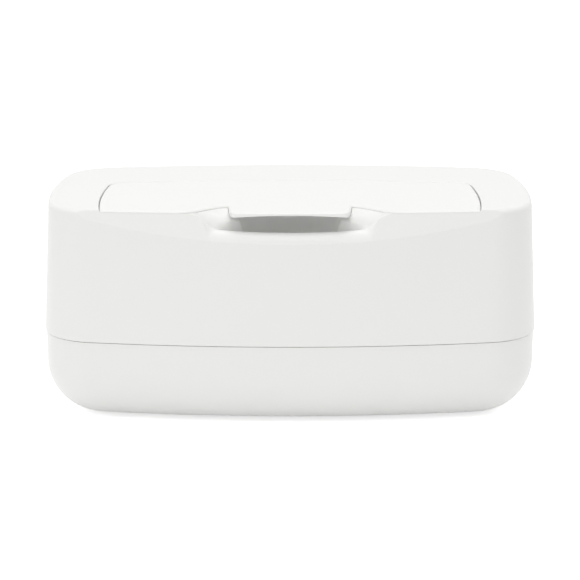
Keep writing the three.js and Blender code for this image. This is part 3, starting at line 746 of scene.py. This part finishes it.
def make_shell():
    """The cover: hollow body, recesses of lid and deck, trough, scoop, port and pin holes."""
    ledge = LID_THICKNESS + SEAT_GAP
    cavity = cover_body(WALL, COVER_BOTTOM - SPARE)
    ledge_body = lid_rectangle(LID_GAP + WALL, -WIDTH)
    cavity = cut(cavity, slab(ledge_body, TOP - ledge - WALL, ABOVE))
    deck_body = lid_rectangle(WALL - LEDGE_WIDTH, DECK_FRONT_Y - WALL)
    cavity = cut(cavity, slab(deck_body, TOP - DECK_DEPTH - WALL, ABOVE))
    cavity = cut(cavity, trough(WALL, TROUGH_DEPTH + WALL, ABOVE))
    cavity = cut(cavity, scoop_funnel(WALL))
    shell = cut(cover_body(0, COVER_BOTTOM), cavity)
    shell = clear_lid_room(shell, SCOOP_STEP)
    shell = clear_lid_room(shell, ledge, FRONT_RIM_WIDTH)
    shell = cut(shell, slab(lid_rectangle(-LEDGE_WIDTH, DECK_FRONT_Y), TOP - DECK_DEPTH, ABOVE))
    shell = cut(shell, trough(0, TROUGH_DEPTH, ABOVE))
    shell = cut(shell, scoop_funnel())
    shell = cut(shell, slab(notch_plan(0), TOP - SCOOP_STEP - HAIR, ABOVE))
    shell = cut(shell, slab(stadium(PORT_LENGTH, PORT_WIDTH), 0, ABOVE))
    inner = LID_LENGTH / 2 - PIVOT_LUG_LENGTH
    outer = LID_LENGTH / 2 + LID_GAP + WALL + PIVOT_PIN_REACH
    for ends in ((-outer, -inner), (inner, outer)):
        hole = rod(PIVOT_PIN_RADIUS + PIVOT_CLEARANCE, *ends, PIVOT_Y, TOP - PIVOT_DEPTH)
        shell = cut(shell, hole)
    return shell


# Lid

def ring_of(length, width, thickness, low, high):
    outer = slab(stadium(length + thickness, width + thickness), low, high)
    inner = stadium(length - thickness, width - thickness)
    return cut(outer, slab(inner, low - SPARE, high + SPARE))


def lid_plate(under):
    """The lid's plate with its rounded upper edge."""
    levels = [(lid_plan(0, LID_THICKNESS), under), (lid_plan(0, LID_ROUND), TOP - LID_ROUND)]
    for turn in quarter_turn(EDGE_STEPS)[1:]:
        drop = LID_ROUND * (1 - math.sin(turn))
        inset = LID_ROUND_ACROSS * (1 - math.cos(turn))
        levels.append((lid_plan(inset, drop), TOP - drop))
    return prism("lid_plate", levels)


def thin_edge(under):
    """What the lid leaves out under its thin front edge, on both sides of the tongue."""
    strip = block((-FAR, -WIDTH, under - SPARE), (FAR, SCOOP_BACK_Y, TOP - LID_EDGE_THICKNESS))
    strip = cut(strip, facet_body(FRONT_RIM_WIDTH + LID_GAP))
    return cut(strip, slab(tongue_plan(TONGUE_ROOM), under - 2 * SPARE, TOP + SPARE))


def tongue_wedge(under):
    """What the lid leaves out under the tongue, which gets thinner to its tip and its sides."""
    tip = TONGUE_TIP_Y - SPARE
    root = TONGUE_TIP_Y + TONGUE_THIN_LENGTH
    half = TONGUE_WIDTH / 2 + SPARE
    low = under - SPARE
    rings = []
    for i in range(WEDGE_COLUMNS + 1):
        x = half * (2 * i / WEDGE_COLUMNS - 1)
        arch = TONGUE_ARCH * min(1, (x / TONGUE_ARCH_HALF) ** 2)
        tip_z = TOP - TONGUE_TIP_THICKNESS - arch
        rings.append([(x, tip, low), (x, root, low), (x, root, under - HAIR), (x, tip, tip_z)])
    return skin("wedge", rings)


def seal_channel(under):
    """The two skirts under the lid that hold the soft ring between them."""
    seal_top = TOP - DECK_DEPTH + SEAT_GAP + SEAL_HEIGHT
    channel = SEAL_WIDTH + 2 * (SEAT_GAP + SEAL_SKIRT)
    skirt = ring_of(SEAL_LENGTH, SEAL_SPAN, channel, seal_top - SEAL_GRIP, under + WELD_DEPTH)
    groove = ring_of(SEAL_LENGTH, SEAL_SPAN, SEAL_WIDTH + 2 * SEAT_GAP, 0, seal_top + SEAT_GAP)
    return cut(skirt, groove)


def catch_tab(under):
    """The half-round tab under the tongue that holds the lid shut against the pocket's back."""
    front = POCKET_BACK_Y - SEAT_GAP - CATCH_THICKNESS
    turns = [math.pi * i / CATCH_STEPS for i in range(CATCH_STEPS + 1)]
    rings = []
    for y in (front, front + CATCH_THICKNESS):
        points = [(CATCH_RADIUS * math.cos(turn), y, under - CATCH_RADIUS / 2 * math.sin(turn))
                  for turn in turns]
        top = under + WELD_DEPTH
        rings.append(points + [(-CATCH_RADIUS, y, top), (CATCH_RADIUS, y, top)])
    return skin("catch_tab", rings)


def make_lid():
    """The lid with its tongue, the ring's channel, the catch tab, and lugs and pins to turn on."""
    under = TOP - LID_THICKNESS
    lid = cut(lid_plate(under), thin_edge(under))
    lid = cut(lid, tongue_wedge(under))
    lid = join(lid, seal_channel(under))
    lid = join(lid, catch_tab(under))
    edge = LID_LENGTH / 2 - PIVOT_LUG_INSET
    for side in (-1, 1):
        lug = sorted((side * edge, side * (edge - PIVOT_LUG_LENGTH)))
        pin = sorted((side * (edge - 1), side * (edge + 1 + LID_GAP + PIVOT_PIN_REACH)))
        lid = join(lid, rod(PIVOT_LUG_RADIUS, *lug, PIVOT_Y, TOP - PIVOT_DEPTH))
        lid = join(lid, rod(PIVOT_PIN_RADIUS, *pin, PIVOT_Y, TOP - PIVOT_DEPTH))
    return lid


# Soft pieces carried over from the frame: the seal, the insert and the feet keep their CAD shape

def carry(node, material):
    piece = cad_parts[node]
    piece.data.materials.clear()
    piece.data.materials.append(material)


finish_piece(make_tray(), "tray_moulding", "tray", "lower_tray", tray_white)
finish_piece(make_shell(), "shell_moulding", "cover", "upper_shell", shell_white)
finish_piece(make_lid(), "lid_moulding", "lid", "lid", lid_white)
carry("lid_seal", seal_silicone)
carry("dispensing_insert", seal_silicone)
for foot in FEET:
    carry(foot, foot_rubber)


# Studio: white floor, even light from all round, and three soft lamps

FLOOR_GLOW = 0.6
WORLD_LIGHT = 0.62
CAMERA_DISTANCE = 800
CAMERA_ELEVATION = 13.95
CAMERA_SENSOR = 36
CAMERA_LENS = 108.5
TARGET_HEIGHT = TRAY_BASE + 46.75


def make_floor():
    """A white floor that keeps the contact shadow and looks white far away too."""
    bm = bmesh.new()
    bmesh.ops.create_grid(bm, x_segments=1, y_segments=1, size=6)
    floor = to_object("studio_floor", bm)
    material = bpy.data.materials.new("white_floor")
    material.use_nodes = True
    tree = material.node_tree
    surface = tree.nodes["Principled BSDF"]
    surface.inputs["Base Color"].default_value = linear("fafafa")
    surface.inputs["Roughness"].default_value = 0.9
    path = add(tree, "ShaderNodeLightPath")
    seen = add(tree, "ShaderNodeMath", {"operation": "MAXIMUM"},
               {0: path.outputs["Is Camera Ray"], 1: path.outputs["Is Glossy Ray"]})
    share = add(tree, "ShaderNodeMath", {"operation": "MULTIPLY", 1: FLOOR_GLOW},
                {0: seen.outputs[0]})
    glow = add(tree, "ShaderNodeEmission", None, {"Strength": share.outputs[0]})
    both = add(tree, "ShaderNodeAddShader", None, {0: surface.outputs["BSDF"], 1: glow.outputs[0]})
    tree.links.new(both.outputs[0], tree.nodes["Material Output"].inputs["Surface"])
    floor.data.materials.append(material)


def make_world():
    """Even light all round, and plain white where the camera or a reflection sees it."""
    world = bpy.data.worlds.new("white_studio")
    bpy.context.scene.world = world
    world.use_nodes = True
    tree = world.node_tree
    path = add(tree, "ShaderNodeLightPath")
    passed = add(tree, "ShaderNodeMath", {"operation": "MAXIMUM"},
                 {0: path.outputs["Is Glossy Ray"], 1: path.outputs["Is Transmission Ray"]})
    seen = add(tree, "ShaderNodeMath", {"operation": "MAXIMUM"},
               {0: path.outputs["Is Camera Ray"], 1: passed.outputs[0]})
    light = tree.nodes["Background"]
    light.inputs["Color"].default_value = linear("ffffff")
    light.inputs["Strength"].default_value = WORLD_LIGHT
    backdrop = add(tree, "ShaderNodeBackground", {"Color": linear("ffffff"), "Strength": 1.0})
    pick = add(tree, "ShaderNodeMixShader", None,
               {0: seen.outputs[0], 1: light.outputs[0], 2: backdrop.outputs[0]})
    tree.links.new(pick.outputs[0], tree.nodes["World Output"].inputs["Surface"])


def make_lamp(name, place, target, size, power):
    lamp = bpy.data.lights.new(name, "AREA")
    lamp.shape = "DISK"
    lamp.size = size
    lamp.energy = power
    holder = bpy.data.objects.new(name, lamp)
    bpy.context.scene.collection.objects.link(holder)
    holder.location = place
    holder.rotation_euler = (Vector(target) - Vector(place)).to_track_quat("-Z", "Y").to_euler()


def make_camera():
    """The photograph's camera: 800 mm from the box, 14 degrees above the horizon."""
    elevation = math.radians(CAMERA_ELEVATION)
    target = Vector((0, 0, TARGET_HEIGHT)) * MM
    camera = bpy.data.cameras.new("camera")
    camera.sensor_width = CAMERA_SENSOR
    camera.lens = CAMERA_LENS
    holder = bpy.data.objects.new("camera", camera)
    bpy.context.scene.collection.objects.link(holder)
    away = Vector((0, -math.cos(elevation), math.sin(elevation)))
    holder.location = target + away * CAMERA_DISTANCE * MM
    holder.rotation_euler = (-away).to_track_quat("-Z", "Y").to_euler()
    bpy.context.scene.camera = holder


make_floor()
make_world()
make_lamp("overhead_softbox", (0, 0.05, 1.4), (0, 0, 0), 1.2, 7.0)
make_lamp("front_softbox", (0.1, -1.0, 1.05), (0, 0, 0.05), 1.0, 2.0)
make_lamp("left_softbox", (-1.3, -0.9, 0.7), (0, 0, 0.05), 0.9, 2.4)
make_camera()
bpy.context.scene.view_settings.view_transform = "Standard"
